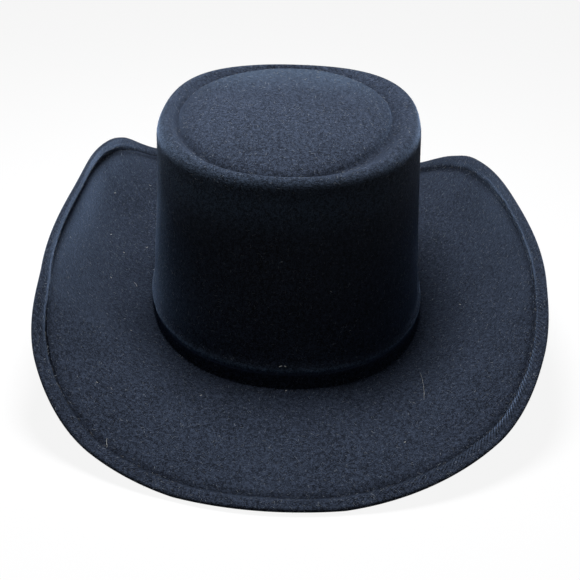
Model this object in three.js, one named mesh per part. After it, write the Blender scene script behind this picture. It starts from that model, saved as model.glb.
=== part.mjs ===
import * as THREE from 'three';

// A felt cowboy hat: one blocked felt body with a flat telescope crown.
// The brim curls up at both sides, and its edge is turned over onto the top and sewn down.
// Millimetres, +Z up, the front of the hat faces -Y, and the hat stands on its brim.

// Driving dimensions
const FELT = 2.2;
const BASE_HALF_WIDTH = 81.3;
const BASE_HALF_LENGTH = 107.5;
const BASE_FULLNESS = 2.17;
const CROWN_HEIGHT = 117;
const TOP_HALF_WIDTH = 73.9;
const TOP_HALF_LENGTH = 91.8;
const TOP_FULLNESS = 2.37;
const TOP_SHIFT = -1;
const TOP_TURN = -4.9;
const TOP_SIDE_TILT = 0.8;
const TOP_BACK_TILT = 3.1;
const TOP_ARCH = 1.9;
const WALL_WAIST = 0.8;
const SHOULDER_WIDTH = 5;
const SHOULDER_DEPTH = 8;
const RIM_SIDE_WIDTH = 8.4;
const RIM_END_WIDTH = 3.3;
const RIM_DEPTH = 5;
const DOME_SIDE_SHIFT = -2.5;
const DOME_BACK_SHIFT = 0.5;
const DOME_FULLNESS = 2;
const DOME_RISE = 12.5;
const DOME_FLATNESS = 2;
const RIDGE_HEIGHT = 10.5;
const RIDGE_STAND = 1.3;
const BAND_DEPTH = 1.2;
const BEND = 5;
const BRIM_SIDE_WIDTH = 90;
const BRIM_END_WIDTH = 93.2;
const HEM_WIDTH = 11;
const RESTING_PRESS = 2.4;
const CREST_HALF_WIDTH = TOP_HALF_WIDTH - SHOULDER_WIDTH;
const CREST_HALF_LENGTH = TOP_HALF_LENGTH - SHOULDER_WIDTH;
const DOME_HALF_WIDTH = CREST_HALF_WIDTH - RIM_SIDE_WIDTH;
const DOME_HALF_LENGTH = CREST_HALF_LENGTH - RIM_END_WIDTH;

// How fine the faces are
const STEPS = 72;
const DOME_RINGS = 6;
const WALL_RINGS = 6;
const BRIM_RINGS = 9;
const BEND_STOPS = [0.4, 0.7];
const FOLD_RINGS = 4;
const TINY = 1e-6;

// The rim of the crown top from its crest (0) down to the groove round the dome (1).
const RIM_ROWS = [
  { inward: 0.35, lined: false },
  { inward: 0.65, lined: false },
  { inward: 0.92, lined: true },
];

// The shoulder between wall and rim is a quarter of an oval, from the wall (0) up to the crest (1).
const SHOULDER_ROWS = [
  { climb: 0, lined: true },
  { climb: 0.35, lined: false },
  { climb: 0.68, lined: false },
  { climb: 1, lined: true },
];

// The ridge and the narrow band at the foot of the crown wall, from above down.
// level is a share of RIDGE_HEIGHT, ridge of RIDGE_STAND outwards, band of BAND_DEPTH inwards.
const FOOT_ROWS = [
  { level: 1.3, ridge: 0.0, band: 0.0, lined: true },
  { level: 1.12, ridge: 0.3, band: 0.0, lined: false },
  { level: 1.0, ridge: 1.0, band: 0.0, lined: true },
  { level: 0.86, ridge: 0.8, band: 0.0, lined: false },
  { level: 0.72, ridge: 0.0, band: 0.75, lined: true },
  { level: 0.5, ridge: 0.0, band: 1.0, lined: true },
];

// The curl of the brim in sections round the hat, counted in degrees from the right side.
// The slopes are in degrees too, where the brim leaves the crown and at its edge.
const CURL_ROWS = [
  { heading: 0, rootSlope: 14, edgeSlope: 86 },
  { heading: 30, rootSlope: 10, edgeSlope: 75 },
  { heading: 45, rootSlope: 7, edgeSlope: 51 },
  { heading: 60, rootSlope: 2, edgeSlope: 22 },
  { heading: 90, rootSlope: -3, edgeSlope: -5 },
  { heading: 120, rootSlope: 2, edgeSlope: 35 },
  { heading: 135, rootSlope: 5, edgeSlope: 72 },
  { heading: 150, rootSlope: 10, edgeSlope: 92 },
  { heading: 180, rootSlope: 16, edgeSlope: 101 },
  { heading: 210, rootSlope: 10, edgeSlope: 73 },
  { heading: 225, rootSlope: 6, edgeSlope: 31 },
  { heading: 240, rootSlope: 1, edgeSlope: 3 },
  { heading: 270, rootSlope: -2, edgeSlope: -5 },
  { heading: 300, rootSlope: 2, edgeSlope: 12 },
  { heading: 315, rootSlope: 5, edgeSlope: 41 },
  { heading: 330, rootSlope: 11, edgeSlope: 65 },
];

const radians = THREE.MathUtils.degToRad;
const mix = THREE.MathUtils.lerp;
const UP = new THREE.Vector3(0, 0, 1);

// A row of the curl table by its number, which may run on past either end.
function curlRow(number) {
  const lap = Math.floor(number / CURL_ROWS.length);
  const row = CURL_ROWS[number - lap * CURL_ROWS.length];
  return { ...row, heading: row.heading + 360 * lap };
}

// A smooth round-the-hat value: a cubic through the rows of the curl table.
function aroundHat(column, turn) {
  const heading = THREE.MathUtils.radToDeg(turn);
  const first = CURL_ROWS.findLastIndex((row) => row.heading <= heading + TINY);
  const [before, from, to, after] = [-1, 0, 1, 2].map((step) => curlRow(first + step));
  const span = to.heading - from.heading;
  const t = (heading - from.heading) / span;
  const leave = ((to[column] - before[column]) * span) / (to.heading - before.heading);
  const arrive = ((after[column] - from[column]) * span) / (after.heading - from.heading);
  const change = to[column] - from[column];
  const bow = 3 * change - 2 * leave - arrive;
  const twist = leave + arrive - 2 * change;
  return radians(from[column] + t * (leave + t * (bow + t * twist)));
}

// A point of an oval whose sides are fuller than an ellipse's, at height z.
function ovalPoint(turn, halfWidth, halfLength, fullness, z) {
  const c = Math.cos(turn);
  const s = Math.sin(turn);
  const power = 2 / fullness;
  const x = halfWidth * Math.sign(c) * Math.abs(c) ** power;
  const y = halfLength * Math.sign(s) * Math.abs(s) ** power;
  return new THREE.Vector3(x, y, z);
}

// The level direction straight out of the crown's base oval.
function baseOutward(turn) {
  const c = Math.cos(turn);
  const s = Math.sin(turn);
  const power = 2 - 2 / BASE_FULLNESS;
  const x = (Math.sign(c) * Math.abs(c) ** power) / BASE_HALF_WIDTH;
  const y = (Math.sign(s) * Math.abs(s) ** power) / BASE_HALF_LENGTH;
  return new THREE.Vector3(x, y, 0).normalize();
}

function brimWidth(turn) {
  return mix(BRIM_SIDE_WIDTH, BRIM_END_WIDTH, Math.sin(turn) ** 2);
}

// How far out and up the brim's top face has come after a length along it.
// Each section is an arc: its chord is the length times sin(half turn) / half turn.
function curlOffset(turn, length) {
  const root = aroundHat('rootSlope', turn);
  const edge = aroundHat('edgeSlope', turn);
  const halfTurn = ((edge - root) * length) / brimWidth(turn) / 2;
  const shrink = Math.abs(halfTurn) < TINY ? 1 : Math.sin(halfTurn) / halfTurn;
  const chord = length * shrink;
  return { out: chord * Math.cos(root + halfTurn), up: chord * Math.sin(root + halfTurn) };
}

const turns = Array.from({ length: STEPS }, (_, i) => (i * 2 * Math.PI) / STEPS);

// The line where crown and brim meet stands this far above the surface below the hat.
// The lowest stretches of the edge, front and back, are pressed flat by RESTING_PRESS.
const lowestEdge = Math.min(...turns.map((turn) => curlOffset(turn, brimWidth(turn)).up));
const BRIM_LINE = FELT - RESTING_PRESS - lowestEdge;

function brimPoint(turn, length) {
  const { out, up } = curlOffset(turn, length);
  const point = ovalPoint(turn, BASE_HALF_WIDTH, BASE_HALF_LENGTH, BASE_FULLNESS, BRIM_LINE);
  point.addScaledVector(baseOutward(turn), out);
  point.z = Math.max(point.z + up, FELT);
  return point;
}

// The foot of the crown wall: the base oval moved out or in, at a height over the brim line.
function footPoint(turn, height, push) {
  const z = BRIM_LINE + height;
  return ovalPoint(turn, BASE_HALF_WIDTH + push, BASE_HALF_LENGTH + push, BASE_FULLNESS, z);
}

// The crown top leans: its back and its right side stand higher. The two sides of its rim also stand
// higher than its front and back. reach is 0 in the middle or at the foot, and 1 at the rim.
function topLean(turn, reach) {
  const tilt = TOP_SIDE_TILT * Math.cos(turn) + TOP_BACK_TILT * Math.sin(turn);
  return reach * tilt + reach ** 2 * TOP_ARCH * Math.cos(2 * turn);
}

// The top was blocked a little turned and aside on the head oval, and the dome a little more aside.
function settled(point, reach, aside) {
  point.applyAxisAngle(UP, radians(TOP_TURN) * reach);
  point.x += TOP_SHIFT * reach + DOME_SIDE_SHIFT * aside;
  point.y += DOME_BACK_SHIFT * aside;
  return point;
}

// The crown wall between its foot (0) and the shoulder (1), drawn in a little at the waist.
function wallPoint(turn, climb) {
  const waist = WALL_WAIST * 4 * climb * (1 - climb);
  const halfWidth = mix(BASE_HALF_WIDTH, TOP_HALF_WIDTH, climb) - waist;
  const halfLength = mix(BASE_HALF_LENGTH, TOP_HALF_LENGTH, climb) - waist;
  const fullness = mix(BASE_FULLNESS, TOP_FULLNESS, climb);
  const height = mix(RIDGE_HEIGHT, CROWN_HEIGHT - SHOULDER_DEPTH, climb) + topLean(turn, climb);
  const point = ovalPoint(turn, halfWidth, halfLength, fullness, BRIM_LINE + height);
  return settled(point, climb, 0);
}

function shoulderPoint(turn, climb) {
  const angle = (climb * Math.PI) / 2;
  const inward = SHOULDER_WIDTH * (1 - Math.cos(angle));
  const halfWidth = TOP_HALF_WIDTH - inward;
  const halfLength = TOP_HALF_LENGTH - inward;
  const height = CROWN_HEIGHT - SHOULDER_DEPTH * (1 - Math.sin(angle)) + topLean(turn, 1);
  const point = ovalPoint(turn, halfWidth, halfLength, TOP_FULLNESS, BRIM_LINE + height);
  return settled(point, 1, 0);
}

function rimPoint(turn, inward) {
  const halfWidth = mix(CREST_HALF_WIDTH, DOME_HALF_WIDTH, inward);
  const halfLength = mix(CREST_HALF_LENGTH, DOME_HALF_LENGTH, inward);
  const fullness = mix(TOP_FULLNESS, DOME_FULLNESS, inward);
  const drop = RIM_DEPTH * THREE.MathUtils.smoothstep(inward, 0, 1);
  const height = CROWN_HEIGHT - drop + topLean(turn, 1);
  const point = ovalPoint(turn, halfWidth, halfLength, fullness, BRIM_LINE + height);
  return settled(point, 1, inward);
}

// The dome inside the rim rises steeply out of the groove and is nearly flat in the middle.
function domePoint(turn, spread) {
  const rise = DOME_RISE * Math.sqrt(1 - spread ** DOME_FLATNESS);
  const height = CROWN_HEIGHT - RIM_DEPTH + rise + topLean(turn, spread);
  const halfWidth = DOME_HALF_WIDTH * spread;
  const halfLength = DOME_HALF_LENGTH * spread;
  const point = ovalPoint(turn, halfWidth, halfLength, DOME_FULLNESS, BRIM_LINE + height);
  return settled(point, 1, 1);
}

// The bend where the wall turns into the brim is a parabola with its corner at the brim line.
function bendPoint(turn, t) {
  const wall = footPoint(turn, FOOT_ROWS.at(-1).level * RIDGE_HEIGHT, -BAND_DEPTH);
  const corner = footPoint(turn, 0, -BAND_DEPTH);
  const brim = brimPoint(turn, BEND);
  return wall.lerp(corner, t).lerp(corner.lerp(brim, t), t);
}

// The top face of the felt as rings of points, from the middle of the dome to the edge fold.
// A ring that is lined has a twin on the underside.
function skinRings() {
  const rings = [];
  const add = (lined, pointAt) => rings.push({ lined, points: turns.map(pointAt) });
  for (let i = 1; i <= DOME_RINGS; i += 1) {
    const spread = Math.sin((i / (DOME_RINGS + 1)) * (Math.PI / 2));
    add(true, (turn) => domePoint(turn, spread));
  }
  add(true, (turn) => domePoint(turn, 1));
  for (const row of RIM_ROWS.toReversed()) {
    add(row.lined, (turn) => rimPoint(turn, row.inward));
  }
  for (const row of SHOULDER_ROWS.toReversed()) {
    add(row.lined, (turn) => shoulderPoint(turn, row.climb));
  }
  const footTop = FOOT_ROWS[0].level * RIDGE_HEIGHT;
  const lowestClimb = (footTop - RIDGE_HEIGHT) / (CROWN_HEIGHT - SHOULDER_DEPTH - RIDGE_HEIGHT);
  for (let i = 1; i < WALL_RINGS; i += 1) {
    const climb = mix(1, lowestClimb, i / WALL_RINGS);
    add(true, (turn) => wallPoint(turn, climb));
  }
  for (const row of FOOT_ROWS) {
    const push = row.ridge * RIDGE_STAND - row.band * BAND_DEPTH;
    add(row.lined, (turn) => footPoint(turn, row.level * RIDGE_HEIGHT, push));
  }
  for (const stop of BEND_STOPS) add(true, (turn) => bendPoint(turn, stop));
  for (let i = 0; i <= BRIM_RINGS; i += 1) {
    const share = i / BRIM_RINGS;
    add(true, (turn) => brimPoint(turn, mix(BEND, brimWidth(turn) - HEM_WIDTH, share)));
  }
  add(true, (turn) => brimPoint(turn, brimWidth(turn) - (HEM_WIDTH + FELT) / 2));
  add(true, (turn) => brimPoint(turn, brimWidth(turn) - FELT));
  return rings;
}

// The direction down the section and the normal at one point of the skin.
// Where the felt lies pressed on the surface below, its normal is straight up.
function skinFrame(rings, ring, i) {
  const points = rings[ring].points;
  const inner = rings[Math.max(ring - 1, 0)].points[i];
  const outer = rings[Math.min(ring + 1, rings.length - 1)].points[i];
  const along = points[(i + 1) % STEPS].clone().sub(points[(i + STEPS - 1) % STEPS]).normalize();
  const down = outer.clone().sub(inner).normalize();
  const pressed = points[i].z === FELT;
  const normal = pressed ? UP.clone() : down.clone().cross(along).normalize();
  return { down, normal };
}

function offsetRing(rings, ring, out, lift) {
  return rings[ring].points.map((point, i) => {
    const { down, normal } = skinFrame(rings, ring, i);
    return point.clone().addScaledVector(normal, lift).addScaledVector(down, out);
  });
}

// One closed section round the felt: top face, raw edge, hem, fold, then back underneath.
function sectionRings() {
  const skin = skinRings();
  const last = skin.length - 1;
  const rawEdge = last - 2;
  const closed = skin.slice(0, rawEdge + 1).map((ring) => ring.points);
  for (let ring = rawEdge; ring < last; ring += 1) {
    closed.push(offsetRing(skin, ring, 0, FELT));
  }
  for (let i = 0; i <= FOLD_RINGS; i += 1) {
    const angle = Math.PI * (0.5 - i / FOLD_RINGS);
    closed.push(offsetRing(skin, last, FELT * Math.cos(angle), FELT * Math.sin(angle)));
  }
  for (let ring = last - 1; ring >= 0; ring -= 1) {
    if (skin[ring].lined) closed.push(offsetRing(skin, ring, 0, -FELT));
  }
  return closed;
}

// The rings joined by triangles, with a point at the dome's middle on both faces.
function feltGeometry() {
  const rings = sectionRings();
  const top = domePoint(0, 0);
  const under = top.clone().setZ(top.z - FELT);
  const positions = [...rings.flat(), top, under].flatMap((point) => point.toArray());
  const topIndex = rings.length * STEPS;
  const underIndex = topIndex + 1;
  const lastRing = (rings.length - 1) * STEPS;
  const indices = [];
  for (let i = 0; i < STEPS; i += 1) {
    const next = (i + 1) % STEPS;
    indices.push(topIndex, i, next);
    indices.push(underIndex, lastRing + next, lastRing + i);
    for (let ring = 0; ring < rings.length - 1; ring += 1) {
      const here = ring * STEPS;
      const below = here + STEPS;
      indices.push(here + i, below + i, below + next);
      indices.push(here + i, below + next, here + next);
    }
  }
  const geometry = new THREE.BufferGeometry();
  geometry.setAttribute('position', new THREE.Float32BufferAttribute(positions, 3));
  geometry.setIndex(indices);
  return geometry;
}

// The origin lies on the surface below the hat, in the middle of its length and width.
function centred(geometry) {
  geometry.computeBoundingBox();
  const middle = geometry.boundingBox.getCenter(new THREE.Vector3());
  geometry.translate(-middle.x, -middle.y, -geometry.boundingBox.min.z);
  geometry.computeVertexNormals();
  return geometry;
}

const felt = new THREE.MeshStandardMaterial({ color: 0x1b222d, roughness: 0.95, metalness: 0 });
const body = new THREE.Mesh(centred(feltGeometry()), felt);
body.name = 'felt_body';

const hat = new THREE.Group();
hat.add(body);

export default hat;
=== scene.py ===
# %% [markdown]
# A felt cowboy hat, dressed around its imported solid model.
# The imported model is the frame: it says where the hat stands and how large it is.
# Everything made below lies in that frame, in metres, with +Z up and the hat's front towards -Y.

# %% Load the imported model
import math

import bpy
import numpy as np
from mathutils import Matrix, Vector


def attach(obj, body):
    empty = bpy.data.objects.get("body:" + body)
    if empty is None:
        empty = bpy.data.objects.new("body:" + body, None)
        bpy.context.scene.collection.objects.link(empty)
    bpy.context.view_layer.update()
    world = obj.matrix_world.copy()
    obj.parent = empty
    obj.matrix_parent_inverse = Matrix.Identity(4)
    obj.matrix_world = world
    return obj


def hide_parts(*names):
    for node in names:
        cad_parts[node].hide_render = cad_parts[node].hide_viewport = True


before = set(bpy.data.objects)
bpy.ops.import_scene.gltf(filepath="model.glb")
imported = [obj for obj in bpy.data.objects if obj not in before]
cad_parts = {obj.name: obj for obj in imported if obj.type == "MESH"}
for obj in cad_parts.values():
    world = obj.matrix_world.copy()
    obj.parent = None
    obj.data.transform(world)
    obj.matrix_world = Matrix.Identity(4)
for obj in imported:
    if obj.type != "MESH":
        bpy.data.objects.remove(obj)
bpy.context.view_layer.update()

# %% [markdown]
# The hat's sizes, in millimetres.
# A hatter works from the same few: the head oval, the crown's height, the top's oval and the brim's width.
# An oval is its half width, half length and fullness, where 2 is an ellipse and more is squarer.
# TOP_TURN and the headings in the tables are in degrees.

# %% Sizes of the hat
MM = 0.001
FELT = 2.2
BASE_OVAL = (81.3, 107.5, 2.17)
TOP_OVAL = (73.9, 91.8, 2.37)
CROWN_HEIGHT = 117.0
TOP_SHIFT = -1.0
TOP_TURN = -4.9
TOP_SIDE_TILT = 0.8
TOP_BACK_TILT = 3.1
TOP_ARCH = 1.9
WALL_WAIST = 0.8
SHOULDER_WIDTH = 5.0
SHOULDER_DEPTH = 8.0
RIM_SIDE_WIDTH = 8.4
RIM_END_WIDTH = 3.3
RIM_DEPTH = 5.0
DOME_SIDE_SHIFT = -2.5
DOME_BACK_SHIFT = 0.5
DOME_RISE = 12.5
DOME_FLATNESS = 2
RIDGE_HEIGHT = 10.5
RIDGE_STAND = 1.3
BAND_DEPTH = 1.2
BEND = 5.0
BRIM_SIDE_WIDTH = 90.0
BRIM_END_WIDTH = 93.2
HEM_WIDTH = 11.0
RESTING_PRESS = 2.4
CREST_OVAL = (TOP_OVAL[0] - SHOULDER_WIDTH, TOP_OVAL[1] - SHOULDER_WIDTH, TOP_OVAL[2])
DOME_OVAL = (CREST_OVAL[0] - RIM_SIDE_WIDTH, CREST_OVAL[1] - RIM_END_WIDTH, 2.0)
print("crown %.0f mm high, brim %.0f mm wide at the sides" % (CROWN_HEIGHT, BRIM_SIDE_WIDTH))

# %% [markdown]
# A brim is steamed into its curl section by section, so the curl is a short table, one row for each section.
# A heading runs from +X against the clock, seen from above. Root and edge are the brim's slope at both ends.
# The foot table says how far the crown's foot stands out or draws in, by level. The ridge is at level 1.

# %% Curl and foot tables
CURL_ROWS = [
    {"heading": 0, "root": 14, "edge": 86},
    {"heading": 30, "root": 10, "edge": 75},
    {"heading": 45, "root": 7, "edge": 51},
    {"heading": 60, "root": 2, "edge": 22},
    {"heading": 90, "root": -3, "edge": -5},
    {"heading": 120, "root": 2, "edge": 35},
    {"heading": 135, "root": 5, "edge": 72},
    {"heading": 150, "root": 10, "edge": 92},
    {"heading": 180, "root": 16, "edge": 101},
    {"heading": 210, "root": 10, "edge": 73},
    {"heading": 225, "root": 6, "edge": 31},
    {"heading": 240, "root": 1, "edge": 3},
    {"heading": 270, "root": -2, "edge": -5},
    {"heading": 300, "root": 2, "edge": 12},
    {"heading": 315, "root": 5, "edge": 41},
    {"heading": 330, "root": 11, "edge": 65},
]
FOOT_ROWS = [
    {"level": 1.3, "ridge": 0.0, "band": 0.0},
    {"level": 1.12, "ridge": 0.3, "band": 0.0},
    {"level": 1.0, "ridge": 1.0, "band": 0.0},
    {"level": 0.86, "ridge": 0.8, "band": 0.0},
    {"level": 0.72, "ridge": 0.0, "band": 0.75},
    {"level": 0.5, "ridge": 0.0, "band": 1.0},
]


def column(rows, name):
    """One column of a table, as an array."""
    return np.array([row[name] for row in rows], float)


print("curl table:", len(CURL_ROWS), "sections, foot table:", len(FOOT_ROWS), "rows")

# %% [markdown]
# The brim's curl between two sections of the table.
# A cubic through the rows keeps the curl free of kinks. It is closed, so row 16 is row 0 one lap later.


# %% The curl round the hat
def around_hat(name, turn):
    """The table's value at each turn (radians): a cubic between two rows, whose slope at each row
    is that of the straight line between its two neighbours."""
    headings = column(CURL_ROWS, "heading")
    values = column(CURL_ROWS, name)
    count = len(headings)
    heading = np.degrees(turn) % 360
    first = np.searchsorted(headings, heading, side="right") - 1
    at = [headings[(first + k) % count] + 360 * ((first + k) // count) for k in (-1, 0, 1, 2)]
    v = [values[(first + k) % count] for k in (-1, 0, 1, 2)]
    span = at[2] - at[1]
    t = (heading - at[1]) / span
    leave = (v[2] - v[0]) * span / (at[2] - at[0])
    arrive = (v[3] - v[1]) * span / (at[3] - at[1])
    change = v[2] - v[1]
    bow = 3 * change - 2 * leave - arrive
    twist = leave + arrive - 2 * change
    return np.radians(v[1] + t * (leave + t * (bow + t * twist)))


def brim_width(turn):
    """From the side width to the end width with the square of the sine."""
    return BRIM_SIDE_WIDTH + (BRIM_END_WIDTH - BRIM_SIDE_WIDTH) * np.sin(turn) ** 2


def curl_offset(turn, length):
    """How far out and up the brim has come after a length along it: each section is an arc,
    whose chord is the length times sin(half turn) / half turn."""
    root = around_hat("root", turn)
    edge = around_hat("edge", turn)
    half = (edge - root) * length / brim_width(turn) / 2
    chord = length * np.sinc(half / np.pi)
    return chord * np.cos(root + half), chord * np.sin(root + half)


FULL_TURN = 2 * np.pi
COARSE_COUNT = 72
COARSE_TURNS = np.arange(COARSE_COUNT) * FULL_TURN / COARSE_COUNT
lowest_edge = curl_offset(COARSE_TURNS, brim_width(COARSE_TURNS))[1].min()
BRIM_LINE = FELT - RESTING_PRESS - lowest_edge
print("the brim leaves the crown %.2f mm above the floor" % BRIM_LINE)

# %% [markdown]
# The section of the hat from the middle of its top to the edge of its brim, in seven zones.
# Felt has no parts or corners, so the zones are worked out densely, joined, and then eased along the section.
# The other way is to subdivide a coarse cage, but then the crisp ridge at the crown's foot would melt away.


# %% Mixing and fading
def mix(a, b, t):
    """a at 0, b at 1 and a straight line between."""
    return a + (b - a) * t


def smooth(t):
    """The S curve t^2 (3 - 2 t), held at 0 and 1 outside that range."""
    t = np.clip(t, 0, 1)
    return t * t * (3 - 2 * t)


def bell(place, middle, width):
    """exp(-(distance / width)^2): 1 in the middle and fading over the width to both sides."""
    return np.exp(-(((place - middle) / width) ** 2))


print("smooth(0.25) is %.2f and bell(0.25, 0, 1) is %.2f" % (smooth(0.25), bell(0.25, 0, 1)))


# %% [markdown]
# The crown is a stack of ovals, from a low dome in a groove over the rim and the shoulder down the wall.
# Each zone is a function of the turn round the hat and of a share of the way along the zone.


# %% Ovals and the crown
def oval(turn, half_width, half_length, fullness, z):
    """A superellipse: each coordinate is its half axis times the cosine or sine to the power 2 / fullness."""
    c = np.cos(turn)
    s = np.sin(turn)
    power = 2 / fullness
    x = half_width * np.sign(c) * np.abs(c) ** power
    y = half_length * np.sign(s) * np.abs(s) ** power
    return np.stack(np.broadcast_arrays(x, y, z), axis=-1)


def base_outward(turn):
    """The level unit normal of the base oval: the gradient of its superellipse."""
    c = np.cos(turn)
    s = np.sin(turn)
    power = 2 - 2 / BASE_OVAL[2]
    x = np.sign(c) * np.abs(c) ** power / BASE_OVAL[0]
    y = np.sign(s) * np.abs(s) ** power / BASE_OVAL[1]
    size = np.hypot(x, y)
    return np.stack([x / size, y / size, np.zeros_like(x)], axis=-1)


def top_lean(turn, reach):
    """Height added by the lean of the top: reach * (side * cos + back * sin) + reach^2 * arch * cos(2 turn),
    where reach is 0 in the middle or at the foot and 1 at the rim."""
    tilt = TOP_SIDE_TILT * np.cos(turn) + TOP_BACK_TILT * np.sin(turn)
    return reach * tilt + reach**2 * TOP_ARCH * np.cos(2 * turn)


def settled(points, reach, aside):
    """Points turned about the crown's axis by reach * TOP_TURN and moved sideways, as the top was blocked."""
    angle = np.radians(TOP_TURN) * reach
    x = points[..., 0] * np.cos(angle) - points[..., 1] * np.sin(angle)
    y = points[..., 0] * np.sin(angle) + points[..., 1] * np.cos(angle)
    x = x + TOP_SHIFT * reach + DOME_SIDE_SHIFT * aside
    y = y + DOME_BACK_SHIFT * aside
    return np.stack([x, y, points[..., 2]], axis=-1)


def dome(turn, spread):
    """The dome oval times the spread, lifted by the square root of 1 - spread squared, as a ball is."""
    lift = DOME_RISE * np.sqrt(np.maximum(1 - spread**DOME_FLATNESS, 0))
    z = BRIM_LINE + CROWN_HEIGHT - RIM_DEPTH + lift + top_lean(turn, spread)
    return settled(oval(turn, DOME_OVAL[0] * spread, DOME_OVAL[1] * spread, DOME_OVAL[2], z), 1, 1)


def rim(turn, inward):
    """Ovals from the rim's crest (0) to the groove round the dome (1), lowered by the S curve."""
    a, b, fullness = [mix(CREST_OVAL[i], DOME_OVAL[i], inward) for i in range(3)]
    z = BRIM_LINE + CROWN_HEIGHT - RIM_DEPTH * smooth(inward) + top_lean(turn, 1)
    return settled(oval(turn, a, b, fullness, z), 1, inward)


def shoulder(turn, climb):
    """A quarter of an oval, from the top of the wall (0) over to the rim's crest (1)."""
    angle = climb * np.pi / 2
    inward = SHOULDER_WIDTH * (1 - np.cos(angle))
    z = BRIM_LINE + CROWN_HEIGHT - SHOULDER_DEPTH * (1 - np.sin(angle)) + top_lean(turn, 1)
    return settled(oval(turn, TOP_OVAL[0] - inward, TOP_OVAL[1] - inward, TOP_OVAL[2], z), 1, 0)


def wall(turn, climb):
    """Ovals between the base's (0) and the top's (1), drawn in by a parabola at the waist."""
    waist = WALL_WAIST * 4 * climb * (1 - climb)
    a, b, fullness = [mix(BASE_OVAL[i], TOP_OVAL[i], climb) for i in range(3)]
    z = BRIM_LINE + mix(RIDGE_HEIGHT, CROWN_HEIGHT - SHOULDER_DEPTH, climb) + top_lean(turn, climb)
    return settled(oval(turn, a - waist, b - waist, fullness, z), climb, 0)


print("rim's crest %.0f mm wide, dome %.0f mm" % (2 * CREST_OVAL[0], 2 * DOME_OVAL[0]))

# %% [markdown]
# At the crown's foot a soft ridge stands out. Under it the felt draws in as if round a band, then bends out
# into the brim. The brim leaves the base oval straight outwards and follows the curl. Where the hat rests on
# the floor, its own weight presses the felt flat.


# %% The crown's foot and the brim
def foot(turn, level):
    """The base oval moved out by the ridge and in by the band, as the foot table says."""
    levels = column(FOOT_ROWS, "level")[::-1]
    ridge = np.interp(level, levels, column(FOOT_ROWS, "ridge")[::-1])
    band = np.interp(level, levels, column(FOOT_ROWS, "band")[::-1])
    push = ridge * RIDGE_STAND - band * BAND_DEPTH
    z = BRIM_LINE + level * RIDGE_HEIGHT
    return oval(turn, BASE_OVAL[0] + push, BASE_OVAL[1] + push, BASE_OVAL[2], z)


def brim(turn, length):
    """The base oval, plus the curl's run straight outwards and its rise, never below the felt flattened on
    the floor.
    """
    out, up = curl_offset(turn, length)
    points = oval(turn, *BASE_OVAL, BRIM_LINE + 0 * out) + base_outward(turn + 0 * out) * out[..., None]
    points[..., 2] = np.maximum(points[..., 2] + up, FELT)
    return points


def bend(turn, t):
    """A parabola from the wall's foot to the brim, with its corner on the brim line."""
    a, b, fullness = BASE_OVAL[0] - BAND_DEPTH, BASE_OVAL[1] - BAND_DEPTH, BASE_OVAL[2]
    start = oval(turn, a, b, fullness, BRIM_LINE + FOOT_ROWS[-1]["level"] * RIDGE_HEIGHT)
    corner = oval(turn, a, b, fullness, BRIM_LINE)
    end = brim(turn, np.full_like(turn, BEND))
    t = t[..., None]
    return mix(mix(start, corner, t), mix(corner, end, t), t)


print("crown top at %.1f mm" % dome(np.zeros(1), np.zeros(1))[0, 2])

# %% [markdown]
# The seven zones become one dense grid: a row for every 0.5 mm of the section, a column for every turn.
# Easing is a running 1-2-1 average along the section, the way steam and an iron round every corner of felt.
# Then only some rows are kept: close together at the rim and the ridge, further apart on the plain stretches.

# %% Rows of the section
DENSE_STEP = 0.5
HEM_OVERLAP = 3
TURNS = 360
ZONE_ROWS = {"dome": 150, "rim": 60, "shoulder": 60, "wall": 200, "foot": 60, "bend": 20, "brim": 180}


def ramp(start, end, zone):
    """Even steps from start to end, one for each row of the zone."""
    return np.linspace(start, end, ZONE_ROWS[zone])[:, None]


def whole_section(turn):
    """The zones joined from the dome's middle to just under the edge turn, as rows of points. Each zone
    starts a little after the end of the last, so that no two rows fall together."""
    wide = turn[None, :]
    foot_top = FOOT_ROWS[0]["level"]
    lowest = (foot_top - 1) * RIDGE_HEIGHT / (CROWN_HEIGHT - SHOULDER_DEPTH - RIDGE_HEIGHT)
    under_hem = brim_width(wide) - HEM_WIDTH + HEM_OVERLAP
    zones = [
        dome(wide, np.sin(ramp(0.01, np.pi / 2, "dome"))),
        rim(wide, ramp(0.96, 0, "rim")),
        shoulder(wide, ramp(0.96, 0, "shoulder")),
        wall(wide, ramp(0.99, lowest, "wall")),
        foot(wide, ramp(foot_top - 0.02, FOOT_ROWS[-1]["level"], "foot")),
        bend(wide, ramp(0.05, 0.95, "bend") + 0 * wide),
        brim(wide, mix(BEND, under_hem, ramp(0, 1, "brim"))),
    ]
    return np.concatenate(zones), np.cumsum([len(zone) for zone in zones])


def travel(rows):
    """How far along the section each row lies: the mean step of all columns, added up."""
    steps = np.linalg.norm(np.diff(rows, axis=0), axis=2).mean(axis=1)
    return np.concatenate([[0], np.cumsum(steps)])


def rows_at(rows, positions, places):
    """Rows at any places along the section, straight between the nearest two."""
    k = np.clip(np.searchsorted(positions, places, side="right") - 1, 0, len(rows) - 2)
    t = ((places - positions[k]) / (positions[k + 1] - positions[k]))[:, None, None]
    return mix(rows[k], rows[k + 1], t)


def ease(rows, passes):
    """Each pass replaces a row by the 1-2-1 average of it and its neighbours; the two end rows stay."""
    for _ in range(passes):
        rows = np.concatenate([rows[:1], (rows[:-2] + 2 * rows[1:-1] + rows[2:]) / 4, rows[-1:]])
    return rows


turn = np.arange(TURNS) * FULL_TURN / TURNS
section, zone_ends = whole_section(turn)
positions = travel(section)
dense_places = np.arange(0, positions[-1], DENSE_STEP)
dense = rows_at(section, positions, dense_places)
zone_places = positions[zone_ends - 1]
print("section of %.0f mm in %d rows, zones end at" % (positions[-1], len(dense)), zone_places.round(1))

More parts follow.
